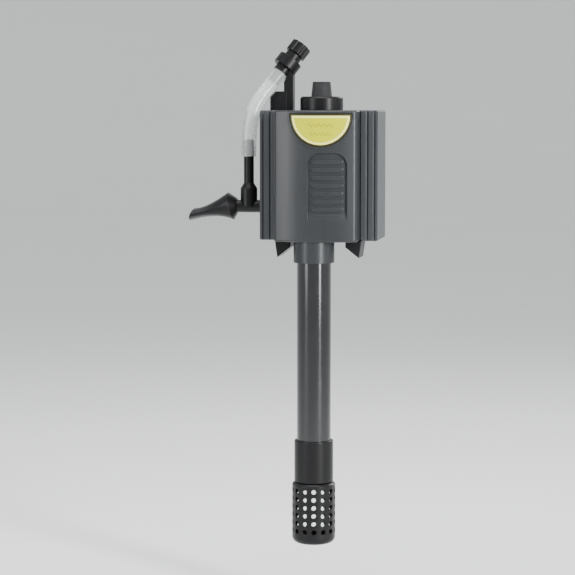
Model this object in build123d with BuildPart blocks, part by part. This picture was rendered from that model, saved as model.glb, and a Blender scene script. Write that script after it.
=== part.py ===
from build123d import *
import math
import os

# Submersible aquarium filter pump, hung on a glass wall by four suction cups.
# Millimetres. The origin is the middle of the plane of the cup rims, +Y points into the glass,
# +Z is up, and the front of the pump faces -Y.

os.makedirs("parts", exist_ok=True)

# ---- clearances ---------------------------------------------------------------------------------
fit_gap = 0.3           # between pieces that slide past each other
joint_gap = 0.05        # radial clearance of a tube in its socket
turn_gap = 0.04         # radial clearance of a bush on its shaft
grip_gap = 0.02         # radial clearance of a pressed-in bush
bed_gap = 0.1           # round a piece that lies in a pocket of another

# ---- suction cups and wall bracket --------------------------------------------------------------
cup_radius = 10.0
cup_height = 9.5
cup_pitch_x = 30.0
cup_pitch_z = 36.0
cup_rim = 0.7
cup_hollow = 4.0
cup_waist_radius = 5.6
cup_waist_depth = 5.2
cup_boss_radius = 4.2
cup_neck_radius = 2.5
cup_head_radius = 4.0
cup_head_height = 2.6
cup_head_taper = 0.8
cup_head_gap = 0.4      # lengthways play of the neck in the bracket
cup_crown = 0.4
cup_lip = 0.9
cup_dome = 0.2
bracket_width = 50.0
bracket_height = 56.0
bracket_thick = 6.0
bracket_back_wall = 1.6
bracket_corner = 7.0
bracket_side_notch = 9.0
bracket_side_notch_height = 14.0
bracket_foot_notch = (16.0, 12.0)
slot_neck_width = 10.0
slot_head_width = 15.0
slot_lip = 2.0
rail_length = 28.0

# ---- pump body ----------------------------------------------------------------------------------
body_width = 56.0
body_depth = 34.0
body_height = 61.0
body_gap = 0.5          # between the bracket and the back of the body
body_back_round = 6.0
body_front_round = 1.0
body_edge_round = 0.8
body_wall = 2.5
flute_radius = 0.6
flute_inset = 2.9       # from the channel's side to the middle of the first flute
flute_step = 3.3
flute_sink = 0.1        # of the flutes' middles, behind the flanges' faces
chamber_corner = 3.0
chamber_front_wall = 2.0
cover_thick = 2.5
cover_ledge = 1.0
shelf_outer = 20.6
shelf_outer_foot = 19.4
shelf_inner = 13.0
shelf_outer_drop = 8.0
shelf_inner_drop = 3.0
shelf_reach = 8.3       # how far a shelf stands out under the cartridge
shelf_hold = 7.0        # how far it runs back under the body
peg_size = 4.0
peg_height = 3.0
peg_x = 17.0
peg_inset = 1.0         # from the cartridge's channel to the peg's front

# ---- motor and impeller -------------------------------------------------------------------------
pump_axis_x = -1.6
pump_axis_y = -30.5
well_radius = 6.7
well_wall = 1.0
well_cap = 1.5
well_top = 19.0
volute_radius = 10.0
volute_roof = -8.0
volute_floor = -20.0
volute_wall = 2.0
cover_radius = 10.6
cover_gap = 0.2         # radial clearance of the volute's cover in its bore
shaft_radius = 1.0
magnet_radius = 6.2
magnet_length = 22.0
magnet_gap = 1.0        # between the magnet and the bush above it
sleeve_radius = 2.6
collar_step = 1.6
impeller_radius = 8.4
impeller_disc = 1.2
impeller_play = 1.0     # between the impeller and the volute's roof
blade_count = 6
blade_thick = 1.0
blade_inset = 0.3
blade_play = 1.2        # between the blades and the volute's floor
core_bottom = 1.0
core_height = 14.0
core_half = 9.5
core_left_reach = 10.4
core_cut = 2.0          # width of the slit in the core's closed side
yoke_width = 5.0
window_half = 4.1
bobbin_play = 0.4
bobbin_wall = 0.8
winding_thick = 3.0
winding_inset = 0.3
rail_offset = 7.4       # of each rail under the stator from the pump axis
rail_size = (28.0, 2.0)
rail_shift = 5.0
bush_height = 2.0
lower_bush_radius = 2.0
lower_bush_height = 2.4
hub_drop = 1.0          # how far the spider's hub hangs below its arms
spider_ring = 1.2
spider_arm = 1.2
spider_arms = 3
spider_reach = 6.4
eye_radius = 5.6
eye_plate = 1.6
cover_plate = 2.2
cover_wall = 1.4
port_width = 14.0
port_rise = 2.5
port_height = 5.5
ring_groove = 1.2
ring_rise = 1.3

# ---- outlet tee and nozzle ----------------------------------------------------------------------
outlet_z = -15.2
outlet_bore = 2.2
tee_radius = 3.0
tee_wall = 1.0
tee_seat = 6.0          # how deep the tee sits in the body
tee_end = 8.3           # from the nipple's axis to the tee's free end
nipple_reach = 7.5      # from the body's side to the nipple's axis
nipple_radius = 2.4
nipple_top = 8.6
boss_radius = 4.0
boss_height = 8.6
boss_taper_height = 2.5
barb_radius = 1.95
barb_length = 8.0
barb_taper = 2.0
barb_bore = 0.9
nozzle_neck_reach = 5.8     # from the nipple's axis to the nozzle's lip
nozzle_lip = 0.8
nozzle_belly_reach = 8.7
nozzle_belly_radius = 6.65
nozzle_length = 19.0
nozzle_throat = 14.1        # from the belly to the flat stretch
nozzle_tilt = 12.5
nozzle_throat_size = (15.0, 5.0)
nozzle_mouth_size = (18.0, 6.2)
nozzle_mouth_slant = 18.0
nozzle_wall = 1.0

# ---- cable cap and gland ------------------------------------------------------------------------
cap_radius = 10.25
cap_height = 6.5
cap_chamfer = 0.8
gland_radius = 5.0
gland_stem = 4.0
gland_height = 7.0
gland_taper = 6.0
cord_radius = 2.6

# ---- filter cartridge ---------------------------------------------------------------------------
case_width = 39.4
case_side_depth = 16.3
case_bulge = 4.0
case_nest = 6.3         # how far the cartridge sits back between the flanges
case_wall = 1.9
case_floor = 2.0
case_round = 2.4
case_back_round = 1.0
case_edge_round = 0.8
tongue_size = 2.0
tongue_reach = 1.2
grid_thick = 1.6
grid_columns = 2
grid_rows = 9
grid_bar = 2.6
sponge_gap = 0.4
badge_x = 3.0
badge_radius = 14.4
badge_top = 29.0
badge_depth = 1.0
badge_land = 0.9        # straight stretch between the badge's flat top and its half circle
badge_gap = 0.2
badge_frame = 0.9
badge_frame_height = 0.5
badge_sink = 0.3        # how far the badge's face lies below its frame
grip_x = 6.1
grip_width = 18.2
grip_top = 11.0
grip_height = 31.6
grip_depth = 1.2
grip_arch = 6.0
grip_foot_round = 1.0
grip_ramp_height = 4.0
grip_rib_count = 8
grip_rib_pitch = 3.65
grip_rib_width = 14.6
grip_rib_height = 1.9
grip_rib_sink = 0.6     # how far the ribs' tops lie below the face
grip_rib_start = 1.7

# ---- intake -------------------------------------------------------------------------------------
intake_x = -1.5
collar_wall = 1.6
collar_height = 10.0
tube_radius = 8.0
tube_wall = 1.5
tube_length = 102.0
socket_depth = 9.0
coupling_wall = 1.2
coupling_length = 20.0
coupling_round = 0.6
strainer_step = 2.2     # how far the strainer stands out past the tube
strainer_gap = 0.2
strainer_length = 29.0
strainer_wall = 1.0
strainer_foot_round = 3.0
strainer_shoulder = 0.8
strainer_columns = 14
strainer_rows = 6
strainer_turn = 100.0   # direction of the first column, seen from above
strainer_hole = 1.2
strainer_pitch = 3.85
strainer_first_row = 3.4

# ---- air tube and valve -------------------------------------------------------------------------
hose_radius = 3.5
hose_bore = 2.0
hose_clearance = 0.6
hose_bend_share = 0.45      # of the shorter run beside a bend that the bend's arc takes
# points of the hose's route, from the nipple's mouth
hose_steps = [
    (0, 0, 0),
    (0, 0, 9.4),
    (0.9, 1.1, 18.9),
    (4.3, 3.9, 27.5),
    (9.5, 7.3, 34.0),
    (13.7, 9.6, 39.8),
]
barrel_radius = 4.0
barrel_length = 11.0
valve_bore = 1.4
air_hole_radius = 0.8
air_hole_inset = 1.8
valve_barb_length = 6.0
knob_radius = 5.0
knob_length = 5.5
knob_flutes = 10
knob_flute_radius = 0.8
knob_flute_sink = 0.3
knob_stem = 5.0
clip_start = 3.0
clip_length = 5.0
clip_wall = 2.0
post_size = (7.9, 7.0)
post_height = 9.0
post_inset = 1.5        # from the body's left side
post_y = -27.5
neck_size = (4.4, 5.6)
neck_shift = 1.0        # of the neck from the clip's middle, towards the post

# ---- places worked out from the sizes -----------------------------------------------------------
bracket_back_y = -cup_height
bracket_front_y = bracket_back_y - bracket_thick
slot_back_y = bracket_back_y - bracket_back_wall
slot_lip_y = bracket_front_y + slot_lip
body_back_y = bracket_front_y - body_gap
body_front_y = body_back_y - body_depth
body_middle_y = (body_back_y + body_front_y) / 2
body_left = -body_width / 2
body_top = body_height / 2
body_bottom = -body_height / 2
channel_y = body_front_y + case_nest + fit_gap
channel_width = case_width + 2 * fit_gap
case_back_y = channel_y - fit_gap
case_side_y = case_back_y - case_side_depth
case_front_y = case_side_y - case_bulge
tongue_y = case_back_y - case_nest / 2
peg_y = channel_y + peg_inset + peg_size / 2
rail_bottom = -rail_length / 2
chamber_back_y = body_back_y - body_wall
chamber_front_y = channel_y + chamber_front_wall
chamber_y = (chamber_back_y + chamber_front_y) / 2
chamber_width = body_width - 2 * body_wall
chamber_depth = chamber_back_y - chamber_front_y
chamber_floor = volute_roof + volute_wall
cover_bore = cover_radius + cover_gap
tee_y = pump_axis_y - (volute_radius - outlet_bore)
tee_inner_x = body_left + tee_seat
nipple_x = body_left - nipple_reach
tee_outer_x = nipple_x - tee_end
pump_axis = (pump_axis_x, pump_axis_y)
collar_radius = tube_radius + collar_wall
intake_y = case_back_y - bed_gap - collar_radius
intake_axis = (intake_x, intake_y)


def write(piece, name):
    """Label a finished piece and write it as its own STEP file."""
    piece.part.label = name
    export_step(piece.part, "parts/" + name + ".step")
    print(f"{name}: {len(piece.part.solids())} solid(s), {piece.part.volume:.1f} mm3")


def disc(axis, height, radius, bore=0):
    """Circle about a vertical axis at a height, with a bore if one is given."""
    with BuildSketch(Plane.XY.offset(height), mode=Mode.PRIVATE) as face:
        with Locations(axis):
            Circle(radius)
            if bore:
                Circle(bore, mode=Mode.SUBTRACT)
    return face.sketch


# ---- suction cups: bell on the glass, neck in the bracket, mushroom head behind it ----------------
cup_places = []
for cup_z in (cup_pitch_z / 2, -cup_pitch_z / 2):
    for cup_x in (-cup_pitch_x / 2, cup_pitch_x / 2):
        cup_places.append((cup_x, cup_z))

cup_shoulder_y = -cup_height + bed_gap
head_back_y = -cup_height - bracket_back_wall - cup_head_gap
head_front_y = head_back_y - cup_head_height
for number, (cup_x, cup_z) in enumerate(cup_places, start=1):
    with BuildPart() as suction_cup:
        with BuildSketch(Plane.XY):
            with BuildLine():
                Polyline(
                    (0, -cup_hollow), (cup_boss_radius, -cup_hollow + cup_crown),
                    (cup_radius - cup_lip, 0), (cup_radius, 0), (cup_radius, -cup_rim),
                    (cup_waist_radius, -cup_waist_depth), (cup_boss_radius, cup_shoulder_y),
                    (cup_neck_radius, cup_shoulder_y), (cup_neck_radius, head_back_y),
                    (cup_head_radius, head_back_y),
                    (cup_head_radius - cup_head_taper, head_front_y + cup_dome),
                    (0, head_front_y), close=True,
                )
            make_face()
        revolve(axis=Axis.Y)
    suction_cup.part = suction_cup.part.moved(Location((cup_x, 0, cup_z)))
    write(suction_cup, f"suction_cup_{number}")

# ---- wall bracket: plate with a T-slot open at the top, and pockets for the cup heads -------------
with BuildPart() as wall_bracket:
    with BuildSketch(Plane.XZ.offset(-bracket_back_y)):
        RectangleRounded(bracket_width, bracket_height, bracket_corner)
        with Locations((-bracket_width / 2, 0), (bracket_width / 2, 0)):
            Rectangle(2 * bracket_side_notch, bracket_side_notch_height, mode=Mode.SUBTRACT)
        with Locations((0, -bracket_height / 2)):
            SlotOverall(*bracket_foot_notch, mode=Mode.SUBTRACT)
    extrude(amount=bracket_thick)
    with BuildSketch(Plane.XY.offset(rail_bottom)):
        with Locations((0, bracket_front_y)):
            Rectangle(slot_neck_width, slot_lip, align=(Align.CENTER, Align.MIN))
        with Locations((0, slot_lip_y)):
            Rectangle(slot_head_width, slot_back_y - slot_lip_y, align=(Align.CENTER, Align.MIN))
    extrude(amount=bracket_height / 2 - rail_bottom, mode=Mode.SUBTRACT)
    with BuildSketch(Plane.XZ.offset(-bracket_back_y)):
        with Locations(*cup_places):
            Circle(cup_neck_radius + bed_gap)
    extrude(amount=bracket_thick, mode=Mode.SUBTRACT)
    with BuildSketch(Plane.XZ.offset(-bracket_back_y + bracket_back_wall + fit_gap)):
        with Locations(*cup_places):
            Circle(cup_head_radius + cup_head_gap)
    extrude(amount=bracket_thick, mode=Mode.SUBTRACT)
write(wall_bracket, "wall_bracket")

# ---- pump body -----------------------------------------------------------------------------------
first_flute = channel_width / 2 + flute_inset
flute_places = []
for flute_x in (first_flute, first_flute + flute_step):
    flute_places.append((flute_x, body_front_y + flute_sink))
    flute_places.append((-flute_x, body_front_y + flute_sink))

with BuildPart() as pump_body:
    with BuildSketch(Plane.XY.offset(body_bottom)):
        with Locations((0, body_middle_y)):
            Rectangle(body_width, body_depth)
        corners = vertices().group_by(Axis.Y)
        fillet(corners[-1], body_back_round)
        fillet(corners[0], body_front_round)
    extrude(amount=body_height)
    fillet(pump_body.edges().group_by(Axis.Z)[-1], body_edge_round)
    fillet(pump_body.edges().group_by(Axis.Z)[0], body_edge_round)
    # channel for the cartridge, grooves for its tongues and flutes down the flanges
    with BuildSketch(Plane.XY.offset(body_bottom)):
        with Locations((0, body_front_y)):
            Rectangle(channel_width, case_nest + fit_gap, align=(Align.CENTER, Align.MIN))
        with Locations((0, tongue_y)):
            Rectangle(channel_width + 2 * (tongue_reach + 2 * fit_gap), tongue_size + 2 * fit_gap)
        with Locations(*flute_places):
            Circle(flute_radius)
    extrude(amount=body_height, mode=Mode.SUBTRACT)
    # motor chamber, open at the top, with a ledge for its cover
    with BuildSketch(Plane.XY.offset(chamber_floor)):
        with Locations((0, chamber_y)):
            RectangleRounded(chamber_width, chamber_depth, chamber_corner)
    extrude(amount=body_top - chamber_floor, mode=Mode.SUBTRACT)
    with BuildSketch(Plane.XY.offset(body_top - cover_thick)):
        with Locations((0, chamber_y)):
            RectangleRounded(chamber_width + 2 * cover_ledge, chamber_depth + 2 * cover_ledge,
                             chamber_corner + cover_ledge)
    extrude(amount=cover_thick, mode=Mode.SUBTRACT)
    # rotor well standing in the motor chamber, and two rails that carry the stator
    add(disc(pump_axis, chamber_floor, well_radius + well_wall))
    extrude(amount=well_top + well_cap - chamber_floor)
    with BuildSketch(Plane.XY.offset(chamber_floor)):
        with Locations((pump_axis_x + rail_shift, pump_axis_y + rail_offset),
                       (pump_axis_x + rail_shift, pump_axis_y - rail_offset)):
            Rectangle(*rail_size)
    extrude(amount=core_bottom - chamber_floor)
    add(disc(pump_axis, volute_roof, well_radius))
    extrude(amount=well_top - volute_roof, mode=Mode.SUBTRACT)
    # volute, bore for its cover and the port to the filter cartridge
    add(disc(pump_axis, volute_floor, volute_radius))
    extrude(amount=volute_roof - volute_floor, mode=Mode.SUBTRACT)
    add(disc(pump_axis, body_bottom, cover_bore))
    extrude(amount=volute_floor - body_bottom, mode=Mode.SUBTRACT)
    with BuildSketch(Plane.XY.offset(body_bottom + port_rise)):
        with Locations(pump_axis):
            Rectangle(port_width, pump_axis_y - body_front_y, align=(Align.CENTER, Align.MAX))
    extrude(amount=port_height, mode=Mode.SUBTRACT)
    # tangential outlet bore and the socket of the outlet tee
    with BuildSketch(Plane.YZ.offset(body_left)):
        with Locations((tee_y, outlet_z)):
            Circle(outlet_bore)
    extrude(amount=pump_axis_x - body_left, mode=Mode.SUBTRACT)
    with BuildSketch(Plane.YZ.offset(body_left)):
        with Locations((tee_y, outlet_z)):
            Circle(tee_radius + joint_gap)
    extrude(amount=tee_seat, mode=Mode.SUBTRACT)
    # T-rail on the back
    with BuildSketch(Plane.XY.offset(rail_bottom)):
        with Locations((0, body_back_y)):
            Rectangle(slot_neck_width - 2 * fit_gap, slot_lip_y + fit_gap - body_back_y,
                      align=(Align.CENTER, Align.MIN))
        with Locations((0, slot_lip_y + fit_gap)):
            Rectangle(slot_head_width - 2 * fit_gap, slot_back_y - slot_lip_y - 2 * fit_gap,
                      align=(Align.CENTER, Align.MIN))
    extrude(amount=rail_length)
    # pockets for the pegs of the two shelves
    with BuildSketch(Plane.XY.offset(body_bottom)):
        with Locations((-peg_x, peg_y), (peg_x, peg_y)):
            Rectangle(peg_size + 2 * joint_gap, peg_size + 2 * joint_gap)
    extrude(amount=peg_height + bed_gap, mode=Mode.SUBTRACT)
write(pump_body, "pump_body")

# ---- two wedge shelves under the front, on which the cartridge stands -----------------------------
shelf_plane = Plane.XZ.offset(-channel_y - shelf_hold)
for side, name in ((-1, "left_shelf"), (1, "right_shelf")):
    with BuildPart() as shelf:
        with BuildSketch(shelf_plane):
            with BuildLine():
                Polyline((side * shelf_outer, body_bottom),
                         (side * shelf_outer_foot, body_bottom - shelf_outer_drop),
                         (side * shelf_inner, body_bottom - shelf_inner_drop),
                         (side * shelf_inner, body_bottom), close=True)
            make_face()
        extrude(amount=shelf_hold + shelf_reach)
        fillet(shelf.edges().group_by(Axis.Y)[0], body_edge_round / 2)
        with BuildSketch(Plane.XY.offset(body_bottom - shelf_inner_drop / 2)):
            with Locations((side * peg_x, peg_y)):
                Rectangle(peg_size, peg_size)
        extrude(amount=shelf_inner_drop / 2 + peg_height)
    write(shelf, name)

# ---- motor cover, cable cap and gland ------------------------------------------------------------
with BuildPart() as motor_cover:
    with BuildSketch(Plane.XY.offset(body_top - cover_thick)):
        with Locations((0, chamber_y)):
            RectangleRounded(chamber_width + 2 * (cover_ledge - joint_gap),
                             chamber_depth + 2 * (cover_ledge - joint_gap),
                             chamber_corner + cover_ledge - joint_gap)
        with Locations(pump_axis):
            Circle(gland_stem, mode=Mode.SUBTRACT)
    extrude(amount=cover_thick)
write(motor_cover, "motor_cover")

with BuildPart() as cable_cap:
    add(disc(pump_axis, body_top, cap_radius))
    extrude(amount=cap_height)
    chamfer(cable_cap.edges().group_by(Axis.Z)[-1], cap_chamfer)
    add(disc(pump_axis, body_top, gland_stem + bed_gap))
    extrude(amount=cap_height, mode=Mode.SUBTRACT)
write(cable_cap, "cable_cap")

with BuildPart() as cable_gland:
    add(disc(pump_axis, body_top, gland_stem))
    extrude(amount=cap_height)
    add(disc(pump_axis, body_top + cap_height, gland_radius))
    extrude(amount=gland_height, taper=gland_taper)
    add(disc(pump_axis, body_top, cord_radius))
    extrude(amount=cap_height + gland_height, mode=Mode.SUBTRACT)
write(cable_gland, "cable_gland")

# ---- stator: laminated core, bobbin and winding ---------------------------------------------------
coil_reach = yoke_width / 2 + bobbin_wall + winding_thick
yoke_middle_x = chamber_width / 2 - bed_gap - coil_reach
yoke_x = yoke_middle_x - yoke_width / 2
core_left = pump_axis_x - core_left_reach
with BuildPart() as stator_core:
    with BuildSketch(Plane.XY.offset(core_bottom)):
        with Locations((core_left, pump_axis_y)):
            Rectangle(yoke_x + yoke_width - core_left, 2 * core_half, align=(Align.MIN, Align.CENTER))
        with Locations(pump_axis):
            Circle(well_radius + well_wall + 2 * bed_gap, mode=Mode.SUBTRACT)
            Rectangle(yoke_x - pump_axis_x, 2 * window_half, align=(Align.MIN, Align.CENTER),
                      mode=Mode.SUBTRACT)
            Rectangle(2 * core_left_reach, core_cut, align=(Align.MAX, Align.CENTER),
                      mode=Mode.SUBTRACT)
    extrude(amount=core_height)
write(stator_core, "stator_core")

bobbin_length = 2 * window_half - bobbin_play
core_middle_z = core_bottom + core_height / 2
bobbin_plane = Plane.XZ.offset(-(pump_axis_y + bobbin_length / 2))
coil_middle = (yoke_middle_x, core_middle_z)
drum_size = (yoke_width + 2 * bobbin_wall, core_height + 2 * bobbin_wall)
flange_size = (2 * coil_reach, core_height + 2 * (bobbin_wall + winding_thick))
with BuildPart() as bobbin:
    with BuildSketch(bobbin_plane):
        with Locations(coil_middle):
            Rectangle(*flange_size)
    extrude(amount=bobbin_length)
    with BuildSketch(bobbin_plane.offset(bobbin_wall)):
        with Locations(coil_middle):
            Rectangle(2 * flange_size[0], 2 * flange_size[1])
            Rectangle(*drum_size, mode=Mode.SUBTRACT)
    extrude(amount=bobbin_length - 2 * bobbin_wall, mode=Mode.SUBTRACT)
    with BuildSketch(bobbin_plane):
        with Locations(coil_middle):
            Rectangle(yoke_width + bed_gap, core_height + bed_gap)
    extrude(amount=bobbin_length, mode=Mode.SUBTRACT)
write(bobbin, "bobbin")

with BuildPart() as winding:
    with BuildSketch(bobbin_plane.offset(bobbin_wall + joint_gap)):
        with Locations(coil_middle):
            RectangleRounded(flange_size[0] - 2 * winding_inset, flange_size[1] - 2 * winding_inset,
                             winding_thick / 2)
            Rectangle(drum_size[0] + bed_gap, drum_size[1] + bed_gap, mode=Mode.SUBTRACT)
    extrude(amount=bobbin_length - 2 * (bobbin_wall + joint_gap))
write(winding, "winding")

# ---- shaft, bushes, rotor and impeller ------------------------------------------------------------
eye_bottom = volute_floor - eye_plate
lower_bush_bottom = eye_bottom - hub_drop
with BuildPart() as rotor_shaft:
    add(disc(pump_axis, lower_bush_bottom, shaft_radius))
    extrude(amount=well_top - lower_bush_bottom)
write(rotor_shaft, "rotor_shaft")

with BuildPart() as upper_bush:
    add(disc(pump_axis, well_top - bush_height, well_radius - joint_gap, shaft_radius + grip_gap))
    extrude(amount=bush_height)
write(upper_bush, "upper_bush")

with BuildPart() as lower_bush:
    add(disc(pump_axis, lower_bush_bottom, lower_bush_radius, shaft_radius + turn_gap))
    extrude(amount=lower_bush_height)
write(lower_bush, "lower_bush")

magnet_top = well_top - bush_height - magnet_gap
magnet_bottom = magnet_top - magnet_length
with BuildPart() as rotor_magnet:
    add(disc(pump_axis, magnet_bottom, magnet_radius, sleeve_radius))
    extrude(amount=magnet_length)
write(rotor_magnet, "rotor_magnet")

disc_top = volute_roof - impeller_play
disc_bottom = disc_top - impeller_disc
blade_bottom = volute_floor + blade_play
with BuildPart() as impeller:
    add(disc(pump_axis, disc_bottom, impeller_radius))
    extrude(amount=impeller_disc)
    add(disc(pump_axis, disc_top, sleeve_radius + collar_step))
    extrude(amount=magnet_bottom - disc_top)
    add(disc(pump_axis, blade_bottom, sleeve_radius))
    extrude(amount=magnet_top - blade_bottom)
    with BuildSketch(Plane.XY.offset(blade_bottom)):
        with Locations(pump_axis):
            with PolarLocations(0, blade_count):
                Rectangle(impeller_radius - blade_inset, blade_thick, align=(Align.MIN, Align.CENTER))
    extrude(amount=disc_bottom - blade_bottom)
    add(disc(pump_axis, blade_bottom, shaft_radius + joint_gap))
    extrude(amount=magnet_top - blade_bottom, mode=Mode.SUBTRACT)
write(impeller, "impeller")

# ---- volute cover with eye, spider and side window, and its o-ring --------------------------------
spider_radius = lower_bush_radius + spider_ring
window_bottom = body_bottom + cover_plate
ring_z = body_bottom + ring_rise
with BuildPart() as volute_cover:
    add(disc(pump_axis, body_bottom, cover_radius))
    extrude(amount=volute_floor - body_bottom)
    add(disc(pump_axis, window_bottom, cover_radius - cover_wall))
    extrude(amount=eye_bottom - window_bottom, mode=Mode.SUBTRACT)
    with BuildSketch(Plane.XY.offset(window_bottom)):
        with Locations(pump_axis):
            Rectangle(port_width, 2 * cover_radius, align=(Align.CENTER, Align.MAX))
    extrude(amount=port_height + port_rise - cover_plate, mode=Mode.SUBTRACT)
    add(disc(pump_axis, eye_bottom, eye_radius))
    extrude(amount=eye_plate, mode=Mode.SUBTRACT)
    with BuildSketch(Plane.XY.offset(eye_bottom)):
        with Locations(pump_axis):
            Circle(spider_radius)
            with PolarLocations(0, spider_arms, start_angle=90):
                Rectangle(spider_reach, spider_arm, align=(Align.MIN, Align.CENTER))
    extrude(amount=eye_plate)
    add(disc(pump_axis, lower_bush_bottom, spider_radius))
    extrude(amount=volute_floor - lower_bush_bottom)
    add(disc(pump_axis, lower_bush_bottom, lower_bush_radius + grip_gap))
    extrude(amount=volute_floor - lower_bush_bottom, mode=Mode.SUBTRACT)
    add(disc(pump_axis, ring_z - ring_groove / 2, 2 * cover_radius, cover_bore - ring_groove))
    extrude(amount=ring_groove, mode=Mode.SUBTRACT)
write(volute_cover, "volute_cover")

with BuildPart() as o_ring:
    with BuildSketch(Plane.XZ.offset(-pump_axis_y)):
        with Locations((pump_axis_x + cover_bore - ring_groove / 2, ring_z)):
            Circle(ring_groove / 2 - joint_gap)
    revolve(axis=Axis((pump_axis_x, pump_axis_y, 0), (0, 0, 1)))
write(o_ring, "o_ring")

# ---- filter cartridge ------------------------------------------------------------------------------
front_plane = Plane.XZ.offset(-case_side_y - case_bulge)
case_inner_bottom = body_bottom + case_floor
case_inner_height = body_height - case_floor - case_wall
case_mouth = case_width - 2 * case_wall
grip_foot = grip_top - grip_height


def case_outline(grow, height):
    """Plan outline of the cartridge at a height, grown by a margin: straight sides, bulged front."""
    half = case_width / 2
    with BuildSketch(Plane.XY.offset(height), mode=Mode.PRIVATE) as outline:
        with BuildLine():
            Polyline((-half, case_side_y), (-half, case_back_y), (half, case_back_y),
                     (half, case_side_y))
            ThreePointArc((-half, case_side_y), (0, case_front_y), (half, case_side_y))
        make_face()
        fillet(outline.vertices().group_by(Axis.Y)[0], case_round)
        fillet(outline.vertices().group_by(Axis.Y)[-1], case_back_round)
        offset(amount=grow)
    return outline.sketch


def front_skin(outer, inner, face):
    """Layer of the bulged front between two margins, cut to a face drawn on the front plane."""
    with BuildPart(mode=Mode.PRIVATE) as skin:
        add(case_outline(outer, body_bottom))
        extrude(amount=body_height)
        add(case_outline(inner, body_bottom))
        extrude(amount=body_height, mode=Mode.SUBTRACT)
        extrude(face, amount=case_width, mode=Mode.INTERSECT)
    return skin.part


def half_disc(grow):
    """Badge face on the front plane, flat side up, grown by a margin."""
    with BuildSketch(front_plane, mode=Mode.PRIVATE) as face:
        with Locations((badge_x, badge_top - badge_land)):
            Circle(badge_radius + grow)
        with Locations((badge_x, badge_top + grow)):
            Rectangle(4 * badge_radius, 2 * badge_radius, align=(Align.CENTER, Align.MIN),
                      mode=Mode.SUBTRACT)
    return face.sketch


def badge_border():
    """Raised frame round the badge on the front plane."""
    with BuildSketch(front_plane, mode=Mode.PRIVATE) as face:
        add(half_disc(badge_frame))
        add(half_disc(badge_gap), mode=Mode.SUBTRACT)
    return face.sketch


def grip_face():
    """Outline of the thumb grip on the front plane: straight foot, arched top corners."""
    with BuildSketch(front_plane, mode=Mode.PRIVATE) as face:
        with Locations((grip_x, grip_top)):
            Rectangle(grip_width, grip_height, align=(Align.CENTER, Align.MAX))
        fillet(face.vertices().group_by(Axis.Y)[-1], grip_arch)
        fillet(face.vertices().group_by(Axis.Y)[0], grip_foot_round)
    return face.sketch


def grip_ribs():
    """The row of horizontal ribs in the thumb grip, on the front plane."""
    with BuildSketch(front_plane, mode=Mode.PRIVATE) as face:
        for rib in range(grip_rib_count):
            with Locations((grip_x, grip_foot + grip_rib_start + rib * grip_rib_pitch)):
                SlotOverall(grip_rib_width, grip_rib_height)
    return face.sketch


def grip_ramp():
    """Ramp that brings the grip's floor out to the face at its foot, following the bulge."""
    slope = Vector(0, grip_depth, grip_ramp_height)
    with BuildPart(mode=Mode.PRIVATE) as ramp:
        extrude(case_outline(0, grip_foot), amount=slope.length, dir=slope.normalized())
        add(front_skin(0, -grip_depth - bed_gap, grip_face()), mode=Mode.INTERSECT)
    return ramp.part


with BuildPart() as filter_case:
    add(case_outline(0, body_bottom))
    extrude(amount=body_height)
    fillet(filter_case.edges().group_by(Axis.Z)[-1], case_edge_round)
    fillet(filter_case.edges().group_by(Axis.Z)[0], case_edge_round)
    with Locations((0, tongue_y, body_bottom)):
        Box(case_width + 2 * tongue_reach, tongue_size, body_height,
            align=(Align.CENTER, Align.CENTER, Align.MIN))
    # inside, open at the back
    add(case_outline(-case_wall, case_inner_bottom))
    extrude(amount=case_inner_height, mode=Mode.SUBTRACT)
    with Locations((0, case_back_y, case_inner_bottom)):
        Box(case_mouth, 4 * case_wall, case_inner_height,
            align=(Align.CENTER, Align.CENTER, Align.MIN), mode=Mode.SUBTRACT)
    # intake collar under the floor
    add(disc(intake_axis, body_bottom - collar_height, collar_radius))
    extrude(amount=collar_height + case_floor / 2)
    add(disc(intake_axis, body_bottom - collar_height, tube_radius + joint_gap))
    extrude(amount=socket_depth, mode=Mode.SUBTRACT)
    add(disc(intake_axis, body_bottom - collar_height, tube_radius - tube_wall))
    extrude(amount=collar_height + case_floor, mode=Mode.SUBTRACT)
    # badge frame and pocket, thumb grip and its ribs
    add(front_skin(badge_frame_height, -badge_depth, badge_border()))
    add(front_skin(2 * badge_frame_height, -badge_depth, half_disc(badge_gap)), mode=Mode.SUBTRACT)
    add(front_skin(2 * badge_frame_height, -grip_depth, grip_face()), mode=Mode.SUBTRACT)
    add(grip_ramp())
    add(front_skin(-grip_rib_sink, -grip_depth - bed_gap, grip_ribs()))
write(filter_case, "filter_case")

with BuildPart() as badge:
    add(front_skin(badge_frame_height - badge_sink, -badge_depth, half_disc(0)))
write(badge, "badge")

with BuildPart() as case_grid:
    with BuildSketch(Plane.XZ.offset(-case_back_y)):
        with Locations((0, case_inner_bottom + case_inner_height / 2)):
            Rectangle(case_mouth - 2 * bed_gap, case_inner_height - 2 * bed_gap)
            with GridLocations(case_mouth / grid_columns, case_inner_height / grid_rows,
                               grid_columns, grid_rows):
                SlotOverall(case_mouth / grid_columns - grid_bar,
                            case_inner_height / grid_rows - grid_bar, mode=Mode.SUBTRACT)
    extrude(amount=grid_thick)
write(case_grid, "case_grid")

with BuildPart() as sponge:
    add(case_outline(-case_wall - sponge_gap, case_inner_bottom + sponge_gap))
    extrude(amount=case_inner_height - 2 * sponge_gap)
    with Locations((0, case_back_y, case_inner_bottom)):
        Box(case_width, 2 * (grid_thick + sponge_gap), case_inner_height,
            align=(Align.CENTER, Align.CENTER, Align.MIN), mode=Mode.SUBTRACT)
write(sponge, "sponge")

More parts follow.
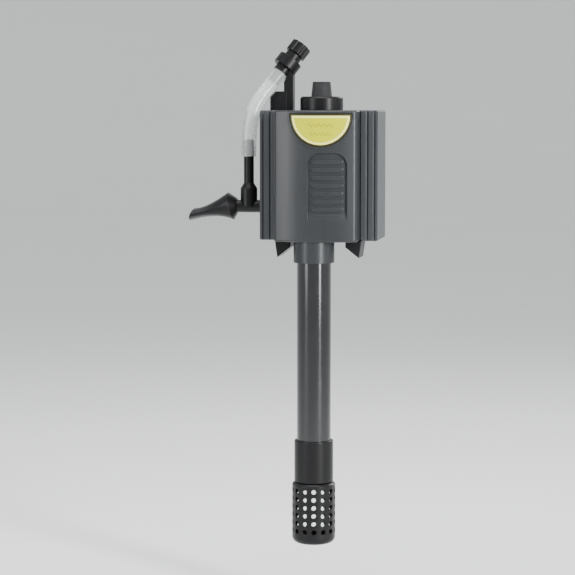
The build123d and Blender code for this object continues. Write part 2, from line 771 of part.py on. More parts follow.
# ---- intake: tube, coupling and strainer ------------------------------------------------------------
coupling_radius = tube_radius + coupling_wall
strainer_radius = tube_radius + strainer_step
tube_top = body_bottom - collar_height + socket_depth
tube_bottom = tube_top - tube_length
with BuildPart() as intake_tube:
    add(disc(intake_axis, tube_bottom, tube_radius, tube_radius - tube_wall))
    extrude(amount=tube_length)
write(intake_tube, "intake_tube")

coupling_top = tube_bottom + socket_depth
coupling_bottom = coupling_top - coupling_length
with BuildPart() as tube_coupling:
    add(disc(intake_axis, coupling_bottom, coupling_radius))
    extrude(amount=coupling_length)
    fillet(tube_coupling.edges().filter_by(GeomType.CIRCLE).group_by(Axis.Z)[-1], coupling_round)
    fillet(tube_coupling.edges().filter_by(GeomType.CIRCLE).group_by(Axis.Z)[0], coupling_round)
    add(disc(intake_axis, coupling_top - socket_depth, tube_radius + joint_gap))
    extrude(amount=socket_depth, mode=Mode.SUBTRACT)
    add(disc(intake_axis, coupling_bottom, tube_radius + joint_gap))
    extrude(amount=socket_depth, mode=Mode.SUBTRACT)
    add(disc(intake_axis, coupling_bottom, tube_radius - tube_wall))
    extrude(amount=coupling_length, mode=Mode.SUBTRACT)
write(tube_coupling, "tube_coupling")

strainer_top = coupling_bottom - strainer_gap
strainer_bottom = strainer_top - strainer_length
first_row_z = strainer_top - strainer_first_row
with BuildPart() as strainer:
    add(disc(intake_axis, strainer_bottom, strainer_radius))
    extrude(amount=strainer_length)
    fillet(strainer.edges().filter_by(GeomType.CIRCLE).group_by(Axis.Z)[0], strainer_foot_round)
    chamfer(strainer.edges().filter_by(GeomType.CIRCLE).group_by(Axis.Z)[-1], strainer_shoulder)
    add(disc(intake_axis, strainer_top, tube_radius))
    extrude(amount=socket_depth)
    add(disc(intake_axis, strainer_bottom + strainer_wall, strainer_radius - strainer_wall))
    extrude(amount=strainer_length - strainer_wall - tube_wall, mode=Mode.SUBTRACT)
    add(disc(intake_axis, strainer_bottom + strainer_wall, tube_radius - tube_wall))
    extrude(amount=strainer_length + socket_depth, mode=Mode.SUBTRACT)
    for row in range(strainer_rows):
        with Locations((intake_x, intake_y, first_row_z - row * strainer_pitch)):
            with PolarLocations(0, strainer_columns, start_angle=strainer_turn):
                Cylinder(strainer_hole, strainer_radius + strainer_wall, rotation=(0, 90, 0),
                         align=(Align.CENTER, Align.CENTER, Align.MIN), mode=Mode.SUBTRACT)
write(strainer, "strainer")

# ---- venturi outlet tee: stub, boss, flared nipple and barb -------------------------------------------
boss_top = outlet_z + boss_height
with BuildPart() as outlet_tee:
    with BuildSketch(Plane.YZ.offset(tee_outer_x)):
        with Locations((tee_y, outlet_z)):
            Circle(tee_radius)
    extrude(amount=tee_inner_x - tee_outer_x)
    add(disc((nipple_x, tee_y), outlet_z, boss_radius))
    extrude(amount=boss_height)
    with BuildSketch(Plane.XY.offset(boss_top)):
        with Locations((nipple_x, tee_y)):
            Circle(boss_radius)
    with BuildSketch(Plane.XY.offset(boss_top + boss_taper_height)):
        with Locations((nipple_x, tee_y)):
            Circle(nipple_radius)
    loft()
    add(disc((nipple_x, tee_y), outlet_z, nipple_radius))
    extrude(amount=nipple_top - outlet_z)
    add(disc((nipple_x, tee_y), nipple_top, barb_radius))
    extrude(amount=barb_length, taper=barb_taper)
    with BuildSketch(Plane.YZ.offset(tee_outer_x)):
        with Locations((tee_y, outlet_z)):
            Circle(tee_radius - tee_wall)
    extrude(amount=tee_inner_x - tee_outer_x, mode=Mode.SUBTRACT)
    add(disc((nipple_x, tee_y), outlet_z, barb_bore))
    extrude(amount=nipple_top + barb_length - outlet_z, mode=Mode.SUBTRACT)
write(outlet_tee, "outlet_tee")

# ---- duckbill nozzle: lip, belly, flat throat and a slanted mouth that points slightly down ------------
tilt = math.radians(nozzle_tilt)
slant = math.radians(nozzle_mouth_slant)
nozzle_along = Vector(-math.cos(tilt), 0, -math.sin(tilt))
belly_centre = Vector(nipple_x - nozzle_belly_reach, tee_y, outlet_z)
lip_plane = Plane(origin=(nipple_x - nozzle_neck_reach, tee_y, outlet_z), x_dir=(0, 1, 0),
                  z_dir=(-1, 0, 0))
belly_plane = Plane(origin=belly_centre, x_dir=(0, 1, 0), z_dir=nozzle_along)
throat_plane = belly_plane.offset(nozzle_throat)
mouth_plane = Plane(origin=belly_centre + nozzle_along * nozzle_length, x_dir=(0, 1, 0),
                    z_dir=(-math.cos(slant), 0, math.sin(slant)))


def bill(wall):
    """Sections of the nozzle's bill, drawn in by a wall: its belly, throat and mouth."""
    with BuildSketch(belly_plane, mode=Mode.PRIVATE) as belly:
        Circle(nozzle_belly_radius - wall)
    with BuildSketch(throat_plane, mode=Mode.PRIVATE) as throat:
        Ellipse(nozzle_throat_size[0] / 2 - wall, nozzle_throat_size[1] / 2 - wall)
    with BuildSketch(mouth_plane, mode=Mode.PRIVATE) as mouth:
        Ellipse(nozzle_mouth_size[0] / 2 - wall, nozzle_mouth_size[1] / 2 - wall)
    return [belly.sketch, throat.sketch, mouth.sketch]


with BuildPart() as nozzle:
    with BuildSketch(lip_plane):
        Circle(tee_radius + joint_gap + nozzle_lip)
    with BuildSketch(belly_plane):
        Circle(nozzle_belly_radius)
    loft()
    loft(bill(0))
    loft(bill(nozzle_wall), mode=Mode.SUBTRACT)
    with BuildSketch(lip_plane):
        Circle(tee_radius + joint_gap)
    extrude(amount=nozzle_belly_reach - nozzle_neck_reach + nozzle_wall, mode=Mode.SUBTRACT)
write(nozzle, "nozzle")

# ---- air tube: up from the nipple, leaning over to the regulating valve --------------------------------
hose_start = Vector(nipple_x, tee_y, nipple_top)
hose_points = [hose_start + Vector(*step) for step in hose_steps]
hose_runs = [b - a for a, b in zip(hose_points, hose_points[1:])]
hose_radii = []
for before, after in zip(hose_runs, hose_runs[1:]):
    half_turn = math.radians(before.get_angle(after) / 2)
    hose_radii.append(hose_bend_share * min(before.length, after.length) / math.tan(half_turn))
print("air tube route:", [tuple(round(part, 2) for part in point) for point in hose_points])
print("air tube bend radii:", [round(radius, 1) for radius in hose_radii])

with BuildPart() as air_tube:
    with BuildLine() as hose_path:
        FilletPolyline(*hose_points, radius=hose_radii)
    with BuildSketch(Plane(origin=hose_points[0], z_dir=hose_runs[0])):
        Circle(hose_radius)
        Circle(hose_bore, mode=Mode.SUBTRACT)
    sweep()
hose_area = math.pi * (hose_radius**2 - hose_bore**2)
hose_length = sum(edge.length for edge in hose_path.edges())
print(f"air tube length {hose_length:.1f}, section x length {hose_area * hose_length:.1f}")
write(air_tube, "air_tube")

# ---- air valve on its post ------------------------------------------------------------------------------
valve_plane = Plane(origin=hose_points[-1], z_dir=hose_runs[-1])
with BuildPart() as valve_barrel:
    with BuildSketch(valve_plane):
        Circle(barrel_radius)
    extrude(amount=barrel_length)
    with BuildSketch(valve_plane):
        Circle(barb_radius)
    extrude(amount=-valve_barb_length)
    with BuildSketch(valve_plane.offset(-valve_barb_length)):
        Circle(valve_bore)
    extrude(amount=valve_barb_length + barrel_length, mode=Mode.SUBTRACT)
    with Locations(valve_plane.offset(barrel_length - air_hole_inset)):
        Cylinder(air_hole_radius, 2 * barrel_radius, rotation=(0, 90, 0),
                 align=(Align.CENTER, Align.CENTER, Align.MIN), mode=Mode.SUBTRACT)
write(valve_barrel, "valve_barrel")

with BuildPart() as valve_knob:
    with BuildSketch(valve_plane.offset(barrel_length + fit_gap)):
        Circle(knob_radius)
        with PolarLocations(knob_radius + knob_flute_sink, knob_flutes):
            Circle(knob_flute_radius, mode=Mode.SUBTRACT)
    extrude(amount=knob_length)
    with BuildSketch(valve_plane.offset(barrel_length - knob_stem)):
        Circle(valve_bore - joint_gap)
    extrude(amount=knob_stem + 2 * fit_gap)
write(valve_knob, "valve_knob")

clip_middle = hose_points[-1] + hose_runs[-1].normalized() * (clip_start + clip_length / 2)
post_x = body_left + post_inset + post_size[0] / 2
neck_x = clip_middle.X + neck_shift
with BuildPart() as valve_post:
    with Locations((post_x, post_y, body_top)):
        Box(post_size[0], post_size[1], post_height, align=(Align.CENTER, Align.CENTER, Align.MIN))
    with Locations((neck_x, post_y, body_top)):
        Box(neck_size[0], neck_size[1], clip_middle.Z - body_top,
            align=(Align.CENTER, Align.CENTER, Align.MIN))
    with BuildSketch(valve_plane.offset(clip_start)):
        Circle(barrel_radius + clip_wall)
    extrude(amount=clip_length)
    with BuildSketch(valve_plane.offset(-valve_barb_length)):
        Circle(barrel_radius + joint_gap)
    extrude(amount=valve_barb_length + 2 * barrel_length, mode=Mode.SUBTRACT)
    with BuildSketch(Plane(origin=hose_points[0], z_dir=hose_runs[0])):
        Circle(hose_radius + hose_clearance)
    sweep(path=hose_path.wires()[0], mode=Mode.SUBTRACT)
write(valve_post, "valve_post")
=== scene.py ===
"""Looks of a glass-mounted aquarium filter pump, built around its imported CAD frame.

Every length is in metres, in the frame of the CAD model: +Z up, +Y into the glass and the pump's
front towards -Y. Each sub-assembly is a class that makes its own pieces and dresses its own nodes.
"""

import logging
import math
from dataclasses import dataclass
from enum import Enum
from typing import Any, Iterable, Optional, Union

import bmesh
import bpy
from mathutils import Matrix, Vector, noise


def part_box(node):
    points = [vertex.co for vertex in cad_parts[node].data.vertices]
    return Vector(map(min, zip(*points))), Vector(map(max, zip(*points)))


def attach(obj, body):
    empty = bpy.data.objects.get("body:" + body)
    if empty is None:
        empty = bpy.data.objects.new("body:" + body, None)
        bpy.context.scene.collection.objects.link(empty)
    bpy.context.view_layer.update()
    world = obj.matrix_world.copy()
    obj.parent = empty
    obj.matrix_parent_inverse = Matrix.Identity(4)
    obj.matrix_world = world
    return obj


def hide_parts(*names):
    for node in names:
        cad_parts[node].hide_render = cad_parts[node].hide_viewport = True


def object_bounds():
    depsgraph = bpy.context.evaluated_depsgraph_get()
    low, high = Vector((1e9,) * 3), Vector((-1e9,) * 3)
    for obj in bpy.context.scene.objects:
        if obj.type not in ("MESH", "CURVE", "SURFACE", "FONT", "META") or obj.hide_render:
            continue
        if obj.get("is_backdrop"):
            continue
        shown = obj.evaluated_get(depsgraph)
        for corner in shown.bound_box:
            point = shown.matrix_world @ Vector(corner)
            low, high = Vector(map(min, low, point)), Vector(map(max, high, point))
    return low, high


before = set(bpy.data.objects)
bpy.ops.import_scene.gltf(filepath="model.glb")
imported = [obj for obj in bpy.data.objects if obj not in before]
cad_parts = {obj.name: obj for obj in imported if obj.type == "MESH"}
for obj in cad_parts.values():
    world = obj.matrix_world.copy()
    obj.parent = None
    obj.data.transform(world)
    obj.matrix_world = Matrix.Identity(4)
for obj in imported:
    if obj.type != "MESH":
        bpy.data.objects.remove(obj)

log = logging.getLogger("filter_pump")

MM = 0.001
TINY = 1e-9
Colour = tuple[float, float, float]
Value = Union["Wire", float, tuple[float, ...]]
SocketKey = Union[int, str]


class Body(str, Enum):
    """Moving bodies of the pump that the added pieces ride on."""

    PUMP = "pump"
    CARTRIDGE = "cartridge"


class Grain(Enum):
    """Direction in which a moulded surface is drawn out by its tool or by handling."""

    UP = (1.0, 1.0, 0.06)
    ACROSS = (0.06, 1.0, 1.0)
    EVEN = (1.0, 1.0, 1.0)


# ---- shader graph ------------------------------------------------------------------------------

OCTAVE_SHARE = 0.55  # strength of each finer octave of noise
EDGE_SAMPLES = 6  # rays that find the softened normal
EDGE_TURN = (0.01, 0.22)  # turn of the softened normal where an edge begins, and where it is full


class Wire:
    """One output socket of a shader graph, on which Python's operators add Math nodes."""

    def __init__(self, graph: "Graph", socket: bpy.types.NodeSocket) -> None:
        """Wrap a socket.

        Args:
            graph: the graph that the socket belongs to.
            socket: the output socket itself.
        """
        self.graph = graph
        self.socket = socket

    def _math(self, operation: str, first: Value, second: Value) -> "Wire":
        """Add a Math node on two values.

        Args:
            operation: name of the Math node's operation.
            first: left operand.
            second: right operand.

        Returns:
            The wire that carries the result.
        """
        return self.graph.node("ShaderNodeMath", {"operation": operation}, {0: first, 1: second})

    def __add__(self, other: Value) -> "Wire":
        """Sum."""
        return self._math("ADD", self, other)

    def __radd__(self, other: Value) -> "Wire":
        """Sum with a plain number on the left."""
        return self._math("ADD", other, self)

    def __sub__(self, other: Value) -> "Wire":
        """Difference."""
        return self._math("SUBTRACT", self, other)

    def __rsub__(self, other: Value) -> "Wire":
        """Difference with a plain number on the left."""
        return self._math("SUBTRACT", other, self)

    def __mul__(self, other: Value) -> "Wire":
        """Product."""
        return self._math("MULTIPLY", self, other)

    def __rmul__(self, other: Value) -> "Wire":
        """Product with a plain number on the left."""
        return self._math("MULTIPLY", other, self)

    def __truediv__(self, other: Value) -> "Wire":
        """Quotient."""
        return self._math("DIVIDE", self, other)

    def __rtruediv__(self, other: Value) -> "Wire":
        """Quotient with a plain number on the left."""
        return self._math("DIVIDE", other, self)

    def lesser(self, other: Value) -> "Wire":
        """The lesser of this and another value."""
        return self._math("MINIMUM", self, other)

    def apply(self, operation: str) -> "Wire":
        """Add a Math node of one operand, such as SINE, FRACT or ABSOLUTE."""
        return self.graph.node("ShaderNodeMath", {"operation": operation}, {0: self})

    def ramp(self, low: float, high: float) -> "Wire":
        """Stretch a range to 0..1 with a smooth, clamped step.

        Args:
            low: value that becomes 0.
            high: value that becomes 1.

        Returns:
            The wire that carries the result.
        """
        return self.graph.node("ShaderNodeMapRange", {"interpolation_type": "SMOOTHSTEP"},
                               {0: self, 1: low, 2: high, 3: 0.0, 4: 1.0})


class Graph:
    """Node tree of one material, ending in a Principled shader."""

    def __init__(self, name: str) -> None:
        """Start an empty material.

        Args:
            name: name of the material.
        """
        self.material = bpy.data.materials.new(name)
        self.material.use_nodes = True
        self.tree = self.material.node_tree
        self.tree.nodes.clear()
        self.shader = self._add("ShaderNodeBsdfPrincipled", {}, {})
        surface = Wire(self, self.shader.outputs["BSDF"])
        self._add("ShaderNodeOutputMaterial", {}, {"Surface": surface})
        self.place = self.node("ShaderNodeTexCoord", {}, {}, "Object")

    def feed(self, socket: bpy.types.NodeSocket, value: Value) -> None:
        """Link a wire to an input socket, or set a constant on it.

        Args:
            socket: the input socket.
            value: a wire, a number or a tuple of numbers.
        """
        if isinstance(value, Wire):
            self.tree.links.new(value.socket, socket)
        elif isinstance(value, tuple) and len(value) == 3 and socket.type == "RGBA":
            socket.default_value = (*value, 1.0)
        else:
            socket.default_value = value

    def _add(self, kind: str, settings: dict[str, Any],
             inputs: dict[SocketKey, Value]) -> bpy.types.Node:
        """Add a node, set it and feed it.

        Args:
            kind: the node's type.
            settings: properties, which are set before the sockets.
            inputs: values or wires by socket name or number.

        Returns:
            The node.
        """
        made = self.tree.nodes.new(kind)
        for key, value in settings.items():
            setattr(made, key, value)
        for key, value in inputs.items():
            self.feed(made.inputs[key], value)
        return made

    def node(self, kind: str, settings: dict[str, Any], inputs: dict[SocketKey, Value],
             output: SocketKey = 0) -> Wire:
        """Add any node and take one of its outputs.

        Args:
            kind: the node's type.
            settings: properties, which are set before the sockets.
            inputs: values or wires by socket name or number.
            output: name or number of the output that is wanted.

        Returns:
            The wire of that output.
        """
        return Wire(self, self._add(kind, settings, inputs).outputs[output])

    def mix(self, factor: Value, first: Value, second: Value) -> Wire:
        """Mix two colours.

        Args:
            factor: share of the second colour.
            first: colour at factor 0.
            second: colour at factor 1.

        Returns:
            The mixed colour.
        """
        return self.node("ShaderNodeMix", {"data_type": "RGBA", "clamp_factor": True},
                         {0: factor, 6: first, 7: second}, 2)

    def stretched(self, grain: Grain) -> Wire:
        """Object coordinates drawn out along a grain direction."""
        return self.node("ShaderNodeVectorMath", {"operation": "MULTIPLY"},
                         {0: self.place, 1: grain.value})

    def noise(self, scale: float, detail: float = 2.0, vector: Optional[Wire] = None) -> Wire:
        """Noise over the surface.

        Args:
            scale: features for each metre.
            detail: number of finer octaves.
            vector: coordinates, the object's own when left out.

        Returns:
            Values about 0.5, from 0 to 1.
        """
        inputs = {"Vector": vector or self.place, "Scale": scale, "Detail": detail,
                  "Roughness": OCTAVE_SHARE}
        return self.node("ShaderNodeTexNoise", {}, inputs, "Fac")

    def cells(self, scale: float) -> Wire:
        """Distance to the edges of a web of cells, so many cells for each metre."""
        return self.node("ShaderNodeTexVoronoi", {"feature": "DISTANCE_TO_EDGE"},
                         {"Vector": self.place, "Scale": scale}, "Distance")

    def split(self) -> tuple[Wire, ...]:
        """Object coordinates as three numbers."""
        made = self._add("ShaderNodeSeparateXYZ", {}, {0: self.place})
        return tuple(Wire(self, socket) for socket in made.outputs)

    def rounded_normal(self, radius: float) -> Wire:
        """Normal with edges softened over a radius, as a moulded edge is."""
        return self.node("ShaderNodeBevel", {"samples": EDGE_SAMPLES}, {"Radius": radius}, "Normal")

    def edge_mask(self, soft_normal: Wire) -> Wire:
        """Mask that is 1 on edges, from how far the softened normal leaves the true one.

        Args:
            soft_normal: output of rounded_normal.

        Returns:
            A mask from 0 on flats to 1 on edges.
        """
        true_normal = self.node("ShaderNodeNewGeometry", {}, {}, "Normal")
        same = self.node("ShaderNodeVectorMath", {"operation": "DOT_PRODUCT"},
                         {0: soft_normal, 1: true_normal}, "Value")
        return (1.0 - same).ramp(*EDGE_TURN)

    def bump(self, height: Wire, strength: float, distance: float,
             normal: Optional[Wire] = None) -> None:
        """Feed the shader's normal from a height.

        Args:
            height: height over the surface, 0 to 1.
            strength: share of the relief that shows.
            distance: depth of the relief in metres.
            normal: normal that the relief lies on.
        """
        inputs: dict[SocketKey, Value] = {
            "Height": height, "Strength": strength, "Distance": distance,
        }
        if normal is not None:
            inputs["Normal"] = normal
        self.set(Normal=self.node("ShaderNodeBump", {}, inputs, "Normal"))

    def set(self, **inputs: Value) -> None:
        """Set the Principled shader's inputs, with underscores for the spaces in their names."""
        for key, value in inputs.items():
            self.feed(self.shader.inputs[key.replace("_", " ")], value)


# ---- finishes ----------------------------------------------------------------------------------


def toned(colour: Colour, gain: float, lift: float = 0.0) -> Colour:
    """Make a colour lighter or darker.

    Args:
        colour: the colour.
        gain: factor on every part of it.
        lift: amount added to every part after that.

    Returns:
        The new colour, with no part over 1.
    """
    return tuple(min(1.0, gain * part + lift) for part in colour)


@dataclass(frozen=True)
class Finish:
    """One surface finish, whose noise scales are in features for each metre."""

    name: str

    def make(self) -> bpy.types.Material:
        """Build the material.

        Returns:
            The material.
        """
        raise NotImplementedError


@dataclass(frozen=True)
class MouldedPlastic(Finish):
    """Injection-moulded plastic with a fine spark-eroded grain, rubbed edges and scale spots."""

    colour: Colour
    roughness: float = 0.38
    flow: Grain = Grain.UP
    wear: float = 0.35
    scale_spots: float = 0.12
    shine: float = 0.32
    grain_size: float = 0.45 * MM
    grain_depth: float = 0.02 * MM
    edge_radius: float = 0.35 * MM
    cloud_scale: float = 45.0
    flow_scale: float = 420.0
    rub_scale: float = 260.0
    spot_scale: float = 900.0
    patch_scale: float = 70.0
    lime: Colour = (0.32, 0.33, 0.31)

    def make(self) -> bpy.types.Material:
        """Build the material.

        Returns:
            The material.
        """
        graph = Graph(self.name)
        deep = toned(self.colour, 0.86)
        pale = toned(self.colour, 1.16, 0.002)
        rubbed = toned(self.colour, 1.7, 0.012)
        cloud = graph.noise(self.cloud_scale, 4.0)
        flow = graph.noise(self.flow_scale, 3.0, graph.stretched(self.flow))
        grain = graph.noise(1.0 / self.grain_size, 3.0)
        patches = graph.noise(self.patch_scale).ramp(0.5, 0.75)
        spots = graph.noise(self.spot_scale).ramp(0.70, 0.80) * patches
        soft = graph.rounded_normal(self.edge_radius)
        edges = graph.edge_mask(soft) * graph.noise(self.rub_scale, 3.0).ramp(0.35, 0.7)
        base = graph.mix(cloud * 0.7 + flow * 0.3, deep, pale)
        base = graph.mix(edges * self.wear, base, rubbed)
        base = graph.mix(spots * self.scale_spots, base, self.lime)
        graph.set(Base_Color=base, IOR=1.5, Specular_IOR_Level=self.shine)
        rough = self.roughness + 0.14 * (flow - 0.5) + 0.10 * (grain - 0.5) + 0.12 * spots
        graph.set(Roughness=rough - 0.08 * edges)
        graph.bump(grain + 0.5 * flow + 0.8 * spots, 0.35, self.grain_depth, soft)
        return graph.material


@dataclass(frozen=True)
class Rubber(Finish):
    """Moulded rubber, matte with a dusty bloom and fine flow marks."""

    colour: Colour
    roughness: float = 0.62
    bloom: float = 0.35
    edge_radius: float = 0.3 * MM
    relief: float = 0.03 * MM
    cloud_scale: float = 120.0
    mark_scale: float = 1900.0
    dust_scale: float = 380.0

    def make(self) -> bpy.types.Material:
        """Build the material.

        Returns:
            The material.
        """
        graph = Graph(self.name)
        cloud = graph.noise(self.cloud_scale, 4.0)
        marks = graph.noise(self.mark_scale)
        dust = graph.noise(self.dust_scale, 5.0).ramp(0.45, 0.75)
        base = graph.mix(dust * self.bloom, self.colour, toned(self.colour, 1.0, 0.03))
        graph.set(Base_Color=base, Roughness=self.roughness + 0.18 * (cloud - 0.5) + 0.1 * dust)
        graph.set(Sheen_Weight=0.1, Sheen_Roughness=0.5, IOR=1.47, Specular_IOR_Level=0.35)
        graph.bump(marks + cloud, 0.3, self.relief, graph.rounded_normal(self.edge_radius))
        return graph.material


@dataclass(frozen=True)
class SmokedTube(Finish):
    """Extruded dark plastic tube, glossy, with long die lines and faint wiping marks."""

    colour: Colour
    roughness: float = 0.15
    edge_radius: float = 0.25 * MM
    relief: float = 0.02 * MM
    line_scale: float = 1500.0
    cloud_scale: float = 60.0
    wipe_scale: float = 170.0

    def make(self) -> bpy.types.Material:
        """Build the material.

        Returns:
            The material.
        """
        graph = Graph(self.name)
        lines = graph.noise(self.line_scale, 2.0, graph.stretched(Grain.UP))
        cloud = graph.noise(self.cloud_scale, 3.0)
        wiped = graph.noise(self.wipe_scale, 5.0).ramp(0.45, 0.8)
        base = graph.mix(cloud, self.colour, toned(self.colour, 1.5, 0.002))
        graph.set(Base_Color=base, Roughness=self.roughness + 0.08 * wiped + 0.05 * (lines - 0.5))
        graph.set(IOR=1.52, Specular_IOR_Level=0.55, Coat_Weight=0.2, Coat_Roughness=0.1)
        graph.bump(lines + 0.3 * cloud, 0.25, self.relief, graph.rounded_normal(self.edge_radius))
        return graph.material


@dataclass(frozen=True)
class ClearSilicone(Finish):
    """Milky silicone hose with a soft inner haze."""

    clear: Colour = (0.80, 0.83, 0.84)
    milky: Colour = (0.93, 0.94, 0.93)
    relief: float = 0.03 * MM
    cloud_scale: float = 220.0
    film_scale: float = 900.0

    def make(self) -> bpy.types.Material:
        """Build the material.

        Returns:
            The material.
        """
        graph = Graph(self.name)
        cloud = graph.noise(self.cloud_scale, 3.0)
        film = graph.noise(self.film_scale, 3.0).ramp(0.4, 0.75)
        graph.set(Base_Color=graph.mix(cloud, self.clear, self.milky), Roughness=0.16 + 0.14 * film)
        graph.set(IOR=1.41, Transmission_Weight=0.72)
        graph.bump(cloud + 0.4 * film, 0.2, self.relief)
        return graph.material


@dataclass(frozen=True)
class PrintedBadge(Finish):
    """Glossy label: dark border, pale line inside it and a bright yellow field."""

    centre: tuple[float, float]
    top: float
    radius: float
    border: float = 0.95 * MM
    line: float = 1.0 * MM
    blur: float = 0.1 * MM
    edge_radius: float = 0.25 * MM
    relief: float = 0.03 * MM
    cloud_scale: float = 160.0
    screen_scale: float = 2600.0
    scuff_scale: float = 500.0
    yellows: tuple[Colour, Colour] = ((0.43, 0.44, 0.0), (0.49, 0.505, 0.0))
    line_colour: Colour = (0.80, 0.80, 0.22)
    border_colour: Colour = (0.030, 0.028, 0.010)
    scuff_colour: Colour = (0.45, 0.44, 0.20)

    def make(self) -> bpy.types.Material:
        """Build the material.

        Returns:
            The material.
        """
        graph = Graph(self.name)
        depth = self._depth(graph)
        cloud = graph.noise(self.cloud_scale, 3.0)
        screen = graph.noise(self.screen_scale, 1.0)
        scuffs = graph.noise(self.scuff_scale, 4.0, graph.stretched(Grain.ACROSS)).ramp(0.6, 0.78)
        inside_border = self._step(depth, self.border)
        inside_line = self._step(depth, self.border + self.line)
        base = graph.mix(inside_line, self.line_colour, graph.mix(cloud, *self.yellows))
        base = graph.mix(inside_border, self.border_colour, base)
        base = graph.mix(scuffs * 0.25, base, self.scuff_colour)
        rough = 0.30 + 0.12 * (cloud - 0.5) + 0.06 * screen + 0.1 * scuffs
        graph.set(Base_Color=base, Roughness=rough, IOR=1.5, Specular_IOR_Level=0.2)
        soft = graph.rounded_normal(self.edge_radius)
        graph.bump(screen + 1.5 * inside_border, 0.2, self.relief, soft)
        return graph.material

    def _depth(self, graph: Graph) -> Wire:
        """Distance in from the badge's outline, which is flat on top and round below.

        Args:
            graph: graph that the distance is worked out in.

        Returns:
            The distance in metres.
        """
        across, _, up = graph.split()
        dx = across - self.centre[0]
        dz = up - self.centre[1]
        from_rim = self.radius - (dx * dx + dz * dz).apply("SQRT")
        return from_rim.lesser(self.top - up)

    def _step(self, depth: Wire, place: float) -> Wire:
        """Mask that is 1 further in than a place, with a slightly blurred print edge."""
        return depth.ramp(place - self.blur, place + self.blur)


@dataclass(frozen=True)
class LaminatedSteel(Finish):
    """Stack of punched steel sheets, with dark joints between the sheets."""

    sheet: float = 0.5 * MM
    relief: float = 0.06 * MM
    rust_scale: float = 300.0
    rusting: float = 0.35
    steel: Colour = (0.42, 0.43, 0.45)
    gap: Colour = (0.06, 0.06, 0.065)
    rust_colour: Colour = (0.25, 0.12, 0.06)

    def make(self) -> bpy.types.Material:
        """Build the material.

        Returns:
            The material.
        """
        graph = Graph(self.name)
        _, _, up = graph.split()
        phase = (up / self.sheet).apply("FRACT")
        joint = (phase - 0.5).apply("ABSOLUTE").ramp(0.36, 0.5)
        rust = graph.noise(self.rust_scale, 4.0).ramp(0.55, 0.8)
        base = graph.mix(joint, self.steel, self.gap)
        base = graph.mix(rust * self.rusting, base, self.rust_colour)
        graph.set(Base_Color=base, Metallic=0.9 - 0.6 * self.rusting * rust)
        graph.set(Roughness=0.34 + 0.2 * rust + 0.2 * joint)
        graph.bump(1.0 - joint, 0.5, self.relief)
        return graph.material


@dataclass(frozen=True)
class EnamelledWire(Finish):
    """Close-wound enamelled copper wire, its turns lying side by side, with painted shade in the
    valleys between them.
    """

    wire: float = 0.32 * MM
    relief: float = 0.12 * MM
    wobble_scale: float = 260.0
    cloud_scale: float = 180.0
    coppers: tuple[Colour, Colour] = ((0.50, 0.18, 0.07), (0.68, 0.28, 0.12))
    # painted shade: dark colour of the valleys between turns, not a colour of the wire
    gap: Colour = (0.12, 0.04, 0.02)

    def make(self) -> bpy.types.Material:
        """Build the material.

        Returns:
            The material.
        """
        graph = Graph(self.name)
        _, along, _ = graph.split()
        wobble = 0.25 * graph.noise(self.wobble_scale)
        turn = ((along / self.wire + wobble) * math.pi).apply("SINE").apply("ABSOLUTE")
        cloud = graph.noise(self.cloud_scale, 3.0)
        # painted shade: the valleys between turns are darkened to the gap colour
        base = graph.mix(turn.ramp(0.0, 0.5), self.gap, graph.mix(cloud, *self.coppers))
        graph.set(Base_Color=base, Metallic=0.85 + 0.1 * cloud, Roughness=0.24 + 0.1 * cloud)
        graph.set(Coat_Weight=0.4)
        graph.bump(turn, 0.8, self.relief)
        return graph.material


@dataclass(frozen=True)
class HardStone(Finish):
    """Ground ceramic or magnet stone, fine-grained, with polishing rings."""

    colour: Colour
    roughness: float
    metallic: float = 0.0
    relief: float = 0.03 * MM
    ring_scale: float = 2200.0
    pit_scale: float = 1400.0
    cloud_scale: float = 150.0

    def make(self) -> bpy.types.Material:
        """Build the material.

        Returns:
            The material.
        """
        graph = Graph(self.name)
        rings = graph.noise(self.ring_scale, 2.0, graph.stretched(Grain.ACROSS))
        pits = graph.noise(self.pit_scale, 3.0).ramp(0.62, 0.75)
        cloud = graph.noise(self.cloud_scale, 3.0)
        base = graph.mix(0.5 * cloud + 0.4 * pits, self.colour, toned(self.colour, 0.75))
        graph.set(Base_Color=base, Metallic=self.metallic, IOR=1.7)
        graph.set(Roughness=self.roughness + 0.12 * (rings - 0.5) + 0.15 * pits)
        graph.bump(rings - 0.6 * pits, 0.3, self.relief)
        return graph.material


@dataclass(frozen=True)
class OpenFoam(Finish):
    """Open-cell filter foam: a web of strands round cells painted near black as shade deep in the
    foam.
    """

    cell: float = 1.1 * MM
    fine_cells: float = 1.9
    relief: float = 0.5 * MM
    silt_scale: float = 60.0
    strand_colour: Colour = (0.050, 0.052, 0.058)
    silt_colour: Colour = (0.16, 0.13, 0.08)
    # painted shade: near-black colour that stands for the shade deep in the cells
    painted_cell_shade: Colour = (0.004, 0.004, 0.005)

    def make(self) -> bpy.types.Material:
        """Build the material.

        Returns:
            The material.
        """
        graph = Graph(self.name)
        web = 1.0 - graph.cells(1.0 / self.cell).ramp(0.02, 0.22)
        fine = 1.0 - graph.cells(self.fine_cells / self.cell).ramp(0.02, 0.2)
        silt = graph.noise(self.silt_scale, 4.0).ramp(0.45, 0.8)
        strand = graph.mix(silt * 0.6, self.strand_colour, self.silt_colour)
        # painted shade: between the strands the colour falls to the dark cell shade
        base = graph.mix(web * 0.75 + fine * 0.25, self.painted_cell_shade, strand)
        graph.set(Base_Color=base, Roughness=0.85 - 0.12 * web, Sheen_Weight=0.3)
        graph.bump(web + 0.5 * fine, 0.9, self.relief)
        return graph.material


@dataclass(frozen=True)
class StudioFloor(Finish):
    """Pale matte floor with barely visible tone."""

    tones: tuple[Colour, Colour] = ((0.87, 0.875, 0.875), (0.91, 0.91, 0.905))
    tone_scale: float = 3.0

    def make(self) -> bpy.types.Material:
        """Build the material.

        Returns:
            The material.
        """
        graph = Graph(self.name)
        tone = graph.noise(self.tone_scale, 3.0)
        graph.set(Base_Color=graph.mix(tone, *self.tones), Roughness=0.8 + 0.08 * tone)
        return graph.material


